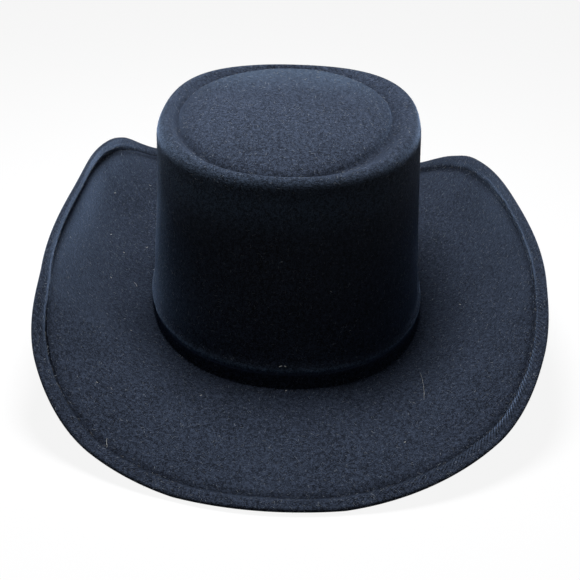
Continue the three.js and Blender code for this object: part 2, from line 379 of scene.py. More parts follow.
# %% [markdown]
# Blocked felt is never quite even. A few slow waves, under half a millimetre, keep light from
# sliding over the crown and brim as if they were plastic. They fade in from the middle of the dome.
# They are sums of cosines with fixed phases, so every run makes the same hat.

# %% Slow unevenness of the felt
EASE_PASSES = 12
EVEN_REACH = 60
WAVE_ROWS = [
    {"round": 2, "along": 0.008, "phase": 0.4, "height": 0.25},
    {"round": 3, "along": -0.012, "phase": 2.1, "height": 0.18},
    {"round": 5, "along": 0.017, "phase": 4.0, "height": 0.1},
    {"round": 7, "along": -0.023, "phase": 1.2, "height": 0.05},
]


def unevenness(turn, place):
    """A sum of cosines of (round * turn + along * place + phase), each with its own height in mm."""
    return sum(
        row["height"] * np.cos(row["round"] * turn + row["along"] * FULL_TURN * place + row["phase"])
        for row in WAVE_ROWS
    )


def normals(rows):
    """Unit normals of a grid closed round the hat: the direction down the section crossed with the
    direction round it."""
    down = np.gradient(rows, axis=0)
    along = np.roll(rows, -1, axis=1) - np.roll(rows, 1, axis=1)
    cross = np.cross(down, along)
    return cross / np.linalg.norm(cross, axis=2, keepdims=True)


eased = ease(dense, EASE_PASSES)
fade = np.clip(dense_places / EVEN_REACH, 0, 1)[:, None] ** 2
waves = unevenness(turn[None, :], dense_places[:, None]) * fade
eased = eased + normals(eased) * waves[..., None]
eased[..., 2] = np.maximum(eased[..., 2], FELT)
print("unevenness from %.2f to %.2f mm" % (waves.min(), waves.max()))

# %% [markdown]
# The felt turns tightly only at the rim, the ridge and the foot. Rows are kept close together there and
# further apart elsewhere, which keeps the mesh light. Decimating would lose the even grid round the hat.
# Along the raw edge of the edge turn the sewing presses the brim down a little.

# %% Which rows are kept
FINE_STEP = 0.7
PLAIN_STEP = 2.6
RULER_STEP = 0.1
FINE_REACH = 7
POLE_GAP = 2.0
HEM_DIP = 0.45
HEM_DIP_WIDTH = 2.6


def spaced_places(start, end, near):
    """Places with FINE_STEP between them up to FINE_REACH from those in near, growing to PLAIN_STEP at twice
    that distance: the steps are counted up along the section, and the count is read back at even parts."""
    ruler = np.arange(start, end, RULER_STEP)
    distance = np.min(np.abs(ruler[:, None] - np.array(near)[None, :]), axis=1)
    spacing = mix(FINE_STEP, PLAIN_STEP, np.clip((distance - FINE_REACH) / FINE_REACH, 0, 1))
    count = np.cumsum(RULER_STEP / spacing)
    return np.interp(np.linspace(count[0], count[-1], int(count[-1])), count, ruler)


dome_end, rim_end, shoulder_end, wall_end, foot_end, bend_end, brim_end = zone_places
busy = [dome_end, rim_end, (rim_end + shoulder_end) / 2, wall_end, (wall_end + foot_end) / 2, bend_end]
top_places = spaced_places(POLE_GAP, dense_places[-1], busy)
top_rows = rows_at(eased, dense_places, top_places)
hem_place = brim_end - HEM_OVERLAP
hem_dip = HEM_DIP * bell(top_places, hem_place, HEM_DIP_WIDTH)
top_rows = top_rows - normals(top_rows) * hem_dip[:, None, None]
print("top face:", len(top_rows), "rows of", TURNS)

# %% [markdown]
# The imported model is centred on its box, so all that is made here is moved by the same amount.

# %% The box's middle
edge_points = brim(COARSE_TURNS, brim_width(COARSE_TURNS))
frame_middle_mm = np.array([(edge_points[:, 0].max() + edge_points[:, 0].min()) / 2, 0.0, 0.0])
print("box middle in section coordinates:", frame_middle_mm.round(2))

# %% [markdown]
# A grid of points becomes a mesh when each quad's four corners are named, all quads at once.
# The points stay in millimetres up to this step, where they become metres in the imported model's frame.


# %% Meshes from rows
def ring_faces(first, count, turns, closed_section=False):
    """Quads between rows of a grid closed round the hat, counted from the vertex number first."""
    below = np.arange(count if closed_section else count - 1)[:, None]
    i = np.arange(turns)[None, :]
    after = (i + 1) % turns
    under = (below + 1) % count
    quads = [below * turns + i, under * turns + i, under * turns + after, below * turns + after]
    return first + np.stack(np.broadcast_arrays(*quads), axis=-1).reshape(-1, 4)


def new_mesh(name, points_mm, faces):
    """A mesh object from points in millimetres and a list of face arrays, each face a row of corners."""
    mesh = bpy.data.meshes.new(name)
    corners = np.concatenate([f.reshape(-1) for f in faces]).astype(np.int32)
    sizes = np.concatenate([np.full(len(f), f.shape[1]) for f in faces]).astype(np.int32)
    mesh.vertices.add(len(points_mm))
    mesh.vertices.foreach_set("co", ((points_mm - frame_middle_mm) * MM).astype(np.float32).ravel())
    mesh.loops.add(len(corners))
    mesh.loops.foreach_set("vertex_index", corners)
    mesh.polygons.add(len(sizes))
    mesh.polygons.foreach_set("loop_start", np.concatenate([[0], np.cumsum(sizes)[:-1]]).astype(np.int32))
    mesh.polygons.foreach_set("loop_total", sizes)
    mesh.polygons.foreach_set("use_smooth", np.ones(len(sizes), bool))
    mesh.update(calc_edges=True)
    piece = bpy.data.objects.new(name, mesh)
    bpy.context.scene.collection.objects.link(piece)
    print("%s: %d vertices, %d triangles" % (name, len(points_mm), (sizes - 2).sum()))
    return piece


# %% [markdown]
# The felt body is one closed shell: the top face, and the underside one felt thickness below it.
# The underside follows a softer section, because an offset of a sharp ridge would cross itself.
# Solidify could give the thickness too, but it would fold over at the ridge and the groove.

# %% The felt body
UNDER_STEP = 4.6
UNDER_EASE_PASSES = 40
UNDER_POLE_GAP = 3.0
soft = ease(dense, UNDER_EASE_PASSES)
soft_under = soft - normals(soft) * FELT
under_places = np.arange(dense_places[-1], UNDER_POLE_GAP, -UNDER_STEP)
under_rows = rows_at(soft_under, dense_places, under_places)
shell = np.concatenate([top_rows, under_rows])
shell[..., 2] = np.maximum(shell[..., 2], 0)
top_pole = dome(np.zeros(1), np.zeros(1))[0]
poles = np.array([top_pole, top_pole - [0, 0, FELT]])
rows = len(shell)
i = np.arange(TURNS)
after = (i + 1) % TURNS
top_fan = np.stack([np.full(TURNS, rows * TURNS), i, after], axis=1)
last = (rows - 1) * TURNS
under_fan = np.stack([np.full(TURNS, rows * TURNS + 1), last + after, last + i], axis=1)
body = new_mesh(
    "felt_body_surface",
    np.concatenate([shell.reshape(-1, 3), poles]),
    [ring_faces(0, rows, TURNS), top_fan, under_fan],
)

# %% [markdown]
# Painted shade: the colour is darkened in the groove round the dome and in the crease next to the hem, where
# shade falls, and, less, along the curled sides.
# The body carries this as one value for each vertex, for its finish to read. A painted picture would need a
# flat map of the felt, and the places are simple distances along the section.

# %% Painted shade
GROOVE_PAINTED_SHADE = 0.35
GROOVE_WIDTH = 4.5
HEM_PAINTED_SHADE = 0.45
HEM_PAINTED_SHADE_WIDTH = 2.2
SIDE_PAINTED_SHADE = 0.16
SIDE_PAINTED_SHADE_FADE = 20


def set_values(piece, name, values):
    """One number for each vertex, for the finish to read."""
    layer = piece.data.attributes.new(name, "FLOAT", "POINT")
    layer.data.foreach_set("value", np.asarray(values, np.float32).ravel())


row_place = top_places[:, None]
# Painted shade: the groove round the dome, the crease by the hem and the curled sides are darkened.
groove_painted_shade = GROOVE_PAINTED_SHADE * bell(row_place, dome_end, GROOVE_WIDTH)
hem_painted_shade = HEM_PAINTED_SHADE * bell(row_place, hem_place, HEM_PAINTED_SHADE_WIDTH)
side_painted_shade = SIDE_PAINTED_SHADE * np.cos(turn) ** 2 * smooth((row_place - bend_end) / SIDE_PAINTED_SHADE_FADE)
painted_shade = groove_painted_shade + hem_painted_shade + side_painted_shade
plain_rest = np.zeros(len(under_rows) * TURNS + len(poles))
set_values(body, "painted_shade", np.append(painted_shade, plain_rest))
print("most pressed %.2f" % painted_shade.max())

# %% [markdown]
# Painted light: the colour is made paler where light falls and catches the fuzz: on the crown's shoulder
# and wall, most at the front left, on its foot's ridge and the dome's rear. It is a second value of each
# vertex.
# Amounts are shares of full painted light, and distances are millimetres along the section.

# %% Painted light
PAINTED_LIGHT_TURN = math.radians(215)
SHOULDER_PAINTED_LIGHT = 0.65
SHOULDER_DROP = 8
SHOULDER_FALL = 12
DOME_PAINTED_LIGHT = 0.3
RIDGE_PAINTED_LIGHT = 0.55
RIDGE_CREST = 0.36
RIDGE_WIDTH = 1.6
SIDE_PAINTED_LIGHT = 0.4
SIDE_FADE = 10
SIDE_TURN = PAINTED_LIGHT_TURN - 0.4
SIDE_NARROWNESS = 5
shoulder_fall = bell(row_place, shoulder_end + SHOULDER_DROP, SHOULDER_FALL)
shoulder_painted_light = (0.55 + 0.45 * np.cos(turn - PAINTED_LIGHT_TURN)) * shoulder_fall
dome_painted_light = smooth(np.sin(turn)) * smooth(row_place / dome_end) * (row_place < dome_end)
ridge_painted_light = bell(row_place, mix(wall_end, foot_end, RIDGE_CREST), RIDGE_WIDTH)
on_wall = smooth((row_place - shoulder_end) / SIDE_FADE) * smooth((wall_end - row_place) / SIDE_FADE)
side_painted_light = on_wall * np.maximum(np.cos(turn - SIDE_TURN), 0) ** SIDE_NARROWNESS
painted_light = SHOULDER_PAINTED_LIGHT * shoulder_painted_light + DOME_PAINTED_LIGHT * dome_painted_light + RIDGE_PAINTED_LIGHT * ridge_painted_light + SIDE_PAINTED_LIGHT * side_painted_light
painted_light = np.minimum(painted_light, 1)
set_values(body, "painted_light", np.append(painted_light, plain_rest))
print("most_painted_light %.2f" % painted_light.max())

# %% [markdown]
# The edge turn, or hem: the last 11 mm of the brim are folded over onto the top and sewn down.
# It is the same felt, but its puckers and stitches are far finer than the rest, so it has a mesh of its own
# that wraps the brim's edge. It meets the body at the raw edge on top and at the stitch line underneath,
# which are real creases on the hat too.

# %% A frame along the brim's edge
HEM_TURNS = 1440
SMALL_LENGTH = 0.05
SMALL_TURN = 0.002
hem_turn = np.arange(HEM_TURNS) * FULL_TURN / HEM_TURNS


def brim_frame(turn, length):
    """The brim's point, the direction down its section and its upward normal, by small differences."""
    point = brim(turn, length)
    down = brim(turn, length + SMALL_LENGTH) - brim(turn, length - SMALL_LENGTH)
    along = brim(turn + SMALL_TURN, length) - brim(turn - SMALL_TURN, length)
    down /= np.linalg.norm(down, axis=-1, keepdims=True)
    up = np.cross(down, along)
    up /= np.linalg.norm(up, axis=-1, keepdims=True)
    return point, down, up


def edge_travel(turn, length):
    """Distance round the brim at a length along it, added up from the first turn, and the full round."""
    ring = brim(turn, length)
    steps = np.linalg.norm(np.roll(ring, -1, axis=0) - ring, axis=1)
    return np.concatenate([[0], np.cumsum(steps)[:-1]]), steps.sum()


hem_inner = brim_width(hem_turn) - HEM_WIDTH
hem_travel, hem_round = edge_travel(hem_turn, hem_inner)
print("the stitch line is %.0f mm round" % hem_round)

# %% [markdown]
# The hem's section runs from the raw edge over its puffed top, round the fold and back underneath.
# Steam and pressing have let the raw edge sink into the brim, so it shows as a soft valley, and the fold is
# pressed thinner than two felts. Hand stitches pull the valley down every centimetre, in some places more
# than in others, so a hold table says where the thread is tight. The cut edge wanders by up to 0.7 mm.

# %% The edge turn's measures
STITCH_PITCH = 10.0
STITCH_INSET = 1.7
STITCH_SINK = 0.8
STITCH_DENT_WIDTH = 0.9
RAW_EDGE_LIFT = -0.3
DOUBLED_FELT = 1.7
RAW_EDGE_ROOT = -1.1
VALLEY_WIDTH = 6.6
FOLD_REACH = 1.7
FOLD_HALF = 1.35
PUFF = 0.3
SCALLOP = 0.2
SCALLOP_PLACE = 3.6
SCALLOP_WIDTH = 1.6
EDGE_SHADE_PLACE = 1.4
EDGE_SHADE_WIDTH = 2.0
HEM_ROOM = HEM_WIDTH - FOLD_REACH
stitch_count = round(hem_round / STITCH_PITCH)
stitch_phase = hem_travel / hem_round * stitch_count
WANDER_ROWS = [
    {"waves": 9, "phase": 1, "height": 0.32},
    {"waves": 31, "phase": 4, "height": 0.22},
    {"waves": 83, "phase": 2, "height": 0.16},
]
HOLD_ROWS = [
    {"heading": 45, "width": 20, "hold": 0.35, "rib": 0.3},
    {"heading": 125, "width": 12, "hold": 0.6, "rib": 0.0},
    {"heading": 200, "width": 22, "hold": 0.0, "rib": 0.4},
    {"heading": 222, "width": 7, "hold": 0.9, "rib": 0.0},
    {"heading": 245, "width": 9, "hold": 1.0, "rib": 0.2},
    {"heading": 304, "width": 20, "hold": 0.4, "rib": 1.0},
    {"heading": 322, "width": 12, "hold": 0.9, "rib": 0.6},
]


def hold_round(name, turn):
    """A table value at each turn: the largest of the rows' bell curves of the degrees away."""
    headings = column(HOLD_ROWS, "heading")
    away = (np.degrees(turn)[..., None] - headings + 180) % 360 - 180
    return np.max(column(HOLD_ROWS, name) * bell(away, 0, column(HOLD_ROWS, "width")), axis=-1)


def raw_edge_wander(travelled):
    """How far the cut edge strays, in mm: a sum of cosines of waves * share of the way round + phase."""
    share = travelled / hem_round * FULL_TURN
    return sum(row["height"] * np.cos(row["waves"] * share + row["phase"]) for row in WANDER_ROWS)


def pull(phase):
    """1 where the needle goes through the felt and 0 between: raised cosines to the third power."""
    first = 0.5 + 0.5 * np.cos(FULL_TURN * (phase - 0.25))
    second = 0.5 + 0.5 * np.cos(FULL_TURN * (phase - 0.75))
    return first**3 + second**3


print("stitch pitch: %d to the round, %.1f mm each" % (stitch_count, hem_round / stitch_count))

# %% [markdown]
# The hem's section is set on the brim's own normals, so that the fold follows the curl. Its top is one height
# over the brim, worked out from the distance across it. The place between two stitches puffs up in a scallop.


# %% The edge turn's section
def hem_lift(across, phase, turn):
    """Height of the hem's top over the brim, across in mm from the raw edge: an S up from the raw edge,
    a puff of half a sine and an S down to the flattened fold, plus the scallops, less the thread's valley."""
    share = across / HEM_ROOM
    doubled = mix(DOUBLED_FELT, FOLD_HALF, smooth((share - 0.35) / 0.65))
    puffed = PUFF * np.sin(np.pi * np.clip(share, 0, 1))
    rise = mix(RAW_EDGE_LIFT, doubled + puffed, smooth(across / VALLEY_WIDTH))
    hold = hold_round("hold", turn)
    scallop = SCALLOP * hold * (1 - pull(phase)) * bell(across, SCALLOP_PLACE, SCALLOP_WIDTH)
    valley = bell(across, STITCH_INSET, STITCH_DENT_WIDTH)
    return rise + scallop - STITCH_SINK * valley * hold * (0.3 + 0.7 * pull(phase))


TOP_ACROSS = np.concatenate([np.arange(0, 5, 0.4), np.arange(5.2, HEM_ROOM - 0.3, 0.7)])
FOLD_ANGLES = np.linspace(np.pi / 2, -np.pi / 2, 11)
BACK_ACROSS = np.arange(0.9, HEM_ROOM + 1.2, 0.9)
BACK_THICKNESS = 1.08 * FELT
BACK_SETTLING = 5
BACK_DENT = 0.5
BACK_DENT_PLACE = HEM_ROOM - 0.8
END_INSET = 1.4
END_DEPTH = 0.75 * FELT
NO_VALUE = np.zeros(HEM_TURNS)
fold_length = brim_width(hem_turn) - FOLD_REACH


def hem_top():
    """From inside the brim up the raw edge and over the top, as (points, distance across, painted shade,
    ribs).
    """
    start = hem_inner + raw_edge_wander(hem_travel)
    hold = hold_round("hold", hem_turn)
    ribbed = hold_round("rib", hem_turn)
    point, _, up = brim_frame(hem_turn, start)
    rows = [(point + up * RAW_EDGE_ROOT, 0.0, NO_VALUE, NO_VALUE)]
    for across in TOP_ACROSS:
        point, _, up = brim_frame(hem_turn, mix(start, fold_length, across / HEM_ROOM))
        lift = hem_lift(across, stitch_phase, hem_turn)
        # Painted shade: darker in the crease by the raw edge, more where the thread holds tight, and along
        # the curled sides.
        edge_painted_shade = bell(across, EDGE_SHADE_PLACE, EDGE_SHADE_WIDTH) * (0.55 + 0.35 * hold)
        painted_shade = edge_painted_shade + SIDE_PAINTED_SHADE * np.cos(hem_turn) ** 2
        rib = ribbed * np.sin(np.pi * min(across / HEM_ROOM, 1.0)) ** 0.5
        rows.append((point + up * lift[:, None], across, painted_shade, rib))
    return rows


def hem_fold():
    """Half an ellipse round the brim's edge: FOLD_REACH * cosine outwards and FOLD_HALF * sine up."""
    point, down, up = brim_frame(hem_turn, fold_length)
    rows = []
    for angle in FOLD_ANGLES:
        turned = point + down * (FOLD_REACH * np.cos(angle)) + up * (FOLD_HALF * np.sin(angle))
        rows.append((turned, HEM_ROOM + FOLD_REACH * (np.pi / 2 - angle), NO_VALUE, NO_VALUE))
    return rows


def hem_back():
    """Back underneath, a little outside the body's underside, with small dents at the stitches, and up
    into the felt at the end."""
    rows = []
    for back in BACK_ACROSS:
        point, _, up = brim_frame(hem_turn, fold_length - back)
        near = bell(back, BACK_DENT_PLACE, STITCH_DENT_WIDTH)
        sink = BACK_DENT * near * pull(stitch_phase + 0.5)
        thick = mix(FOLD_HALF, BACK_THICKNESS, smooth(back / BACK_SETTLING))
        rows.append((point - up * (thick - sink)[:, None], HEM_ROOM + back, NO_VALUE, NO_VALUE))
    point, _, up = brim_frame(hem_turn, hem_inner - END_INSET)
    rows.append((point - up * END_DEPTH, 2 * HEM_ROOM, NO_VALUE, NO_VALUE))
    return rows


def hem_map(across):
    """A flat map of the hem in mm: the distance round it and across it for each corner of each face.
    The last column ends at the full round, so that the map has no seam that runs backwards."""
    ends = np.append(hem_travel, hem_round)
    following = np.roll(across, -1)
    u = np.stack([ends[:-1], ends[:-1], ends[1:], ends[1:]], axis=-1)[None]
    v = np.stack([across, following, following, across], axis=-1)[:, None]
    return np.stack(np.broadcast_arrays(u, v), axis=-1)


hem_rows = hem_top() + hem_fold() + hem_back()
hem_grid, hem_across, hem_painted_shade, hem_rib = [np.array(part) for part in zip(*hem_rows)]
hem_grid[..., 2] = np.maximum(hem_grid[..., 2], 0)
hem = new_mesh(
    "brim_hem",
    hem_grid.reshape(-1, 3),
    [ring_faces(0, len(hem_grid), HEM_TURNS, closed_section=True)],
)
set_values(hem, "painted_shade", np.minimum(hem_painted_shade, 1))
set_values(hem, "rib", hem_rib)
hem_layer = hem.data.uv_layers.new(name="hem_mm")
hem_layer.data.foreach_set("uv", hem_map(hem_across).astype(np.float32).ravel())
print("hem section: %d rows" % len(hem_grid))

# %% [markdown]
# The thread: long running stitches, 5 mm on top and 5 mm underneath by turns.
# Each stitch is a short thin tube that dives into the felt at both ends. A bevelled curve for each would
# look the same, but a few hundred of them are one array of points here.

# %% Stitches
THREAD_RADIUS = 0.38
THREAD_SIDES = 6
STITCH_RINGS = 9
STITCH_SPAN = 0.46
THREAD_DEPTH = 0.5
THREAD_RISE = 0.62


def stitches(first_phase, side):
    """Tubes along the stitch line, as rings of points along each stitch. The height over the felt is the
    square root of a half sine. Where the thread is slack the stitch lies buried in the felt."""
    number = np.arange(stitch_count)[:, None]
    share = np.linspace(0, 1, STITCH_RINGS)[None, :]
    phase = number + first_phase + STITCH_SPAN * (share - 0.5)
    distance = phase / stitch_count * hem_round % hem_round
    at_turn = np.interp(distance, np.append(hem_travel, hem_round), np.append(hem_turn, FULL_TURN))
    length = brim_width(at_turn) - HEM_WIDTH + STITCH_INSET
    point, down, up = brim_frame(at_turn, length)
    rise = np.sin(np.pi * share) ** 0.5
    surface = hem_lift(STITCH_INSET, phase, at_turn) if side > 0 else 0 * phase + FELT
    buried = THREAD_DEPTH * (1 - hold_round("hold", at_turn))
    height = side * (surface - THREAD_DEPTH + THREAD_RISE * rise - buried)
    around = np.linspace(0, FULL_TURN, THREAD_SIDES, endpoint=False)[None, None, :]
    thin = THREAD_RADIUS * np.sqrt(np.clip(np.sin(np.pi * (share * 0.96 + 0.02)), 0, 1))[..., None]
    cos = (thin * np.cos(around))[..., None]
    sin = (thin * np.sin(around))[..., None]
    centre = point + up * height[..., None]
    return centre[:, :, None] + down[:, :, None] * cos + up[:, :, None] * sin


def tube_faces(count, rings, sides):
    """Quads round each tube and one face with a corner for each side at both its ends."""
    t = np.arange(count)[:, None, None] * rings * sides
    r = np.arange(rings - 1)[None, :, None] * sides
    s = np.arange(sides)[None, None, :]
    s_next = (s + 1) % sides
    corners = [t + r + s, t + r + s_next, t + r + sides + s_next, t + r + sides + s]
    quads = np.stack(np.broadcast_arrays(*corners), axis=-1)
    ends = np.arange(count)[:, None] * rings * sides
    start_cap = ends + np.arange(sides)[::-1][None, :]
    end_cap = ends + (rings - 1) * sides + np.arange(sides)[None, :]
    return [quads.reshape(-1, 4), start_cap, end_cap]


top_thread = stitches(0.5, 1)
under_thread = stitches(0.0, -1)
thread_points = np.concatenate([top_thread, under_thread])
thread_points[..., 2] = np.maximum(thread_points[..., 2], 0)
thread_faces = tube_faces(len(thread_points), STITCH_RINGS, THREAD_SIDES)
thread = new_mesh("hem_stitches", thread_points.reshape(-1, 3), thread_faces)
print("thread: %d stitches on top and %d underneath" % (len(top_thread), len(under_thread)))

# %% [markdown]
# Loose fibres. Felt sheds short wool fibres that lie on its nap in every direction, with an end or a loop
# lifted. They are what gives the outline its faint down and the dark wall its pale pinpricks.
# They are real thin tubes and not a texture, so that they stand off the surface and catch the lamp.

# %% Scattered fibres
BODY_FIBRES = 9500
HEM_FIBRES = 2000
FIBRE_SIDES = 3
FIBRE_SHARES = np.array([0.0, 0.5, 1.0])
FIBRE_LENGTHS = (0.5, 2.2)
FIBRE_RADII = (0.03, 0.065)
FIBRE_LIFTS = (0.05, 0.7)
FIBRE_BOW = 0.4
FIBRE_SEAT = 0.6
random_source = np.random.default_rng(7)


def scattered(rows, count):
    """Random places on a grid closed round the hat, as likely as the area of each of its cells, with the
    normal and the direction down the section there."""
    down = rows[1:] - rows[:-1]
    along = np.roll(rows, -1, axis=1) - rows
    cross = np.cross(down, along[:-1])
    area = np.linalg.norm(cross, axis=2)
    cells = random_source.choice(area.size, count, p=(area / area.sum()).ravel())
    r, c = np.unravel_index(cells, area.shape)
    first, second = random_source.random((2, count, 1))
    point = rows[r, c] + down[r, c] * first + along[r, c] * second
    up = cross[r, c] / area[r, c][:, None]
    tangent = down[r, c] / np.linalg.norm(down[r, c], axis=1, keepdims=True)
    return point, up, tangent


def fibres(point, up, tangent, length, radius, lift):
    """Tubes of three rings: the middle one steps aside by up to a fifth of the length, and the height over
    the felt is the lift times the square of the share of the way along."""
    count = len(point)
    angle = random_source.random((count, 1)) * FULL_TURN
    side = np.cross(up, tangent)
    heading = tangent * np.cos(angle) + side * np.sin(angle)
    aside = np.cross(up, heading)
    bow = (random_source.random((count, 1)) - 0.5) * FIBRE_BOW * length[:, None]
    share = FIBRE_SHARES[None, :, None]
    centre = point[:, None] + heading[:, None] * (share - 0.5) * length[:, None, None]
    centre = centre + aside[:, None] * bow[:, None] * 4 * share * (1 - share)
    centre = centre + up[:, None] * (radius[:, None, None] * FIBRE_SEAT + lift[:, None, None] * share**2)
    around = np.arange(FIBRE_SIDES) * FULL_TURN / FIBRE_SIDES
    ring_aside = aside[:, None, None] * np.cos(around)[None, None, :, None]
    ring_up = up[:, None, None] * np.sin(around)[None, None, :, None]
    return centre[:, :, None] + (ring_aside + ring_up) * radius[:, None, None, None]


def varied(count, sizes):
    """Random sizes between the two given, by the square of a random number, so that most are small."""
    least, most = sizes
    return least + (most - least) * random_source.random(count) ** 2


def scattered_fibres(rows, count):
    """Fibres of random length, thickness and lift at random places on a grid."""
    point, up, tangent = scattered(rows, count)
    length = varied(count, FIBRE_LENGTHS)
    radius = varied(count, FIBRE_RADII)
    lift = varied(count, FIBRE_LIFTS)
    return fibres(point, up, tangent, length, radius, lift)


# from the raw edge to just past the outermost row of the fold
hem_seen_rows = hem_grid[1 : int(np.argmax(hem_across > HEM_ROOM)) + len(FOLD_ANGLES) // 2 + 1]
body_fibre_points = scattered_fibres(top_rows, BODY_FIBRES)
hem_fibre_points = scattered_fibres(hem_seen_rows, HEM_FIBRES)
fibre_points = np.concatenate([body_fibre_points, hem_fibre_points])
fibre_points[..., 2] = np.maximum(fibre_points[..., 2], 0)
fibre_faces = tube_faces(len(fibre_points), len(FIBRE_SHARES), FIBRE_SIDES)
loose_fibres = new_mesh("loose_fibres", fibre_points.reshape(-1, 3), fibre_faces)

# %% [markdown]
# Shader maths. A wire is one output of a node, and adding or multiplying wires adds Math nodes.
# Nodes could be placed and linked by hand, but an expression is shorter to read.


# %% Wires
class Wire:
    """One output socket of a material's node. Arithmetic on wires adds Math nodes beside it."""

    def __init__(self, tree, socket=None):
        self.tree = tree
        self.socket = socket

    def node(self, kind, settings, sockets, output=0):
        """A new node: its settings first, then the values or wires of its sockets, by name or number."""
        node = self.tree.nodes.new(kind)
        for name, value in settings.items():
            setattr(node, name, value)
        for name, value in sockets.items():
            if isinstance(value, Wire):
                self.tree.links.new(value.socket, node.inputs[name])
            else:
                node.inputs[name].default_value = value
        return Wire(self.tree, node.outputs[output])

    def maths(self, operation, other=0.0):
        """A Math node on this wire and another wire or number. A sine has no use for the second."""
        return self.node("ShaderNodeMath", {"operation": operation}, {0: self, 1: other})

    def __add__(self, other):
        return self.maths("ADD", other)

    __radd__ = __add__

    def __mul__(self, other):
        return self.maths("MULTIPLY", other)

    __rmul__ = __mul__

    def between(self, low, high):
        """0 below low and 1 above high, smooth in between."""
        settings = {"interpolation_type": "SMOOTHSTEP"}
        return self.node("ShaderNodeMapRange", settings, {"Value": self, "From Min": low, "From Max": high})


def new_material(name):
    """A material with its Principled shader, and a wire with the Object coordinates."""
    material = bpy.data.materials.new(name)
    material.use_nodes = True
    tree = material.node_tree
    shader = tree.nodes["Principled BSDF"]
    place = Wire(tree).node("ShaderNodeTexCoord", {}, {}, output="Object")
    return material, shader, place


def noise(place, scale, detail, roughness=0.55):
    """Cloudy noise: scale is in bumps per metre, and detail is how many finer layers it has."""
    sockets = {"Vector": place, "Scale": scale, "Detail": detail, "Roughness": roughness}
    return place.node("ShaderNodeTexNoise", {}, sockets)


def colour(value):
    """A plain colour gets its fourth number; a wire stays as it is."""
    return (*value, 1) if isinstance(value, tuple) else value


def blend(factor, a, b):
    """Colour a where the factor is 0 and b where it is 1."""
    sockets = {"Factor": factor, 6: colour(a), 7: colour(b)}
    return factor.node("ShaderNodeMix", {"data_type": "RGBA"}, sockets, output=2)


def piece_value(place, name):
    """The value that a piece carries at each vertex, or 0 where it has none by that name."""
    return place.node("ShaderNodeAttribute", {"attribute_name": name}, {}, output="Fac")


def mottled_material(name, scale, detail, colours, roughness):
    """A rough finish that wanders between two colours with one noise, for thread, fibres and lint."""
    material, shader, place = new_material(name)
    tone = blend(noise(place, scale, detail), *colours)
    place.tree.links.new(tone.socket, shader.inputs["Base Color"])
    shader.inputs["Roughness"].default_value = roughness
    print("%s: %d nodes" % (name, len(material.node_tree.nodes)))
    return material


# %% [markdown]
# Wool felt. Short fibres lie in every direction, so it is a fine grain at about half a millimetre with
# paler fibre ends, soft patches of a few centimetres, and a fuzz that catches light at grazing angles.
# Sheen on the Principled shader is that fuzz, and the grain is both colour and bump.
# Painted shade is a second, plain shader, dark and without sheen, mixed in by the painted shade value.

# %% The felt's colours and grain
FELT_DARK = (0.0009, 0.0014, 0.0034)
FELT_LIGHT = (0.056, 0.074, 0.118)
FLECK_COLOUR = (0.2, 0.22, 0.26)
SHEEN = 0.48
SHEEN_ROUGHNESS = 0.38
SHEEN_TINT = (0.41, 0.58, 0.92, 1)
PAINTED_LIGHT_COLOUR = (0.11, 0.17, 0.26)
GRAIN_SCALE = 1700
CLUMP_SCALE = 560
PATCH_SCALE = 32
FLECK_SCALE = 1150
FIBRE_RANGE = (0.37, 0.68)
FLECK_RANGE = (0.7, 0.78)
FLECK_AMOUNT = 0.6
PATCH_AMOUNT = 0.2
PAINTED_LIGHT_ON_FIBRES = 1.5
PAINTED_LIGHT_BETWEEN = 0.25
BUMP_STRENGTH = 0.9
BUMP_DEPTH = 0.0006
FELT_ROUGHNESS = 0.95
FELT_SHINE = 0.12
PAINTED_SHADE_SHINE = 0.05
print("felt grain about %.1f mm wide" % (1000 / GRAIN_SCALE))

# %% [markdown]
# Where the sewing is tight the edge turn is drawn into fine slanted ribs, about a millimetre apart. They are
# too fine for the mesh, so they are a wave in its finish: a bump, and painted shade in the colour across the
# ribs.
# It reads the flat map of the hem in mm, and so the ribs run round the hat with the hem.

# %% The ribs of the edge turn
RIB_PITCH = 1.3
RIB_ANGLE = math.radians(38)
RIB_PAINTED_SHADE = 0.26
RIB_BUMP = 0.6


def hem_ribs(place):
    """A wave across slanted ribs: the sine of a full turn for every pitch at right angles to them."""
    flat = place.node("ShaderNodeUVMap", {"uv_map": "hem_mm"}, {})
    along = flat.node("ShaderNodeSeparateXYZ", {}, {0: flat}, output="X")
    across = flat.node("ShaderNodeSeparateXYZ", {}, {0: flat}, output="Y")
    steps = (along * math.sin(RIB_ANGLE) + across * math.cos(RIB_ANGLE)) * (FULL_TURN / RIB_PITCH)
    return steps.maths("SINE") * piece_value(place, "rib")


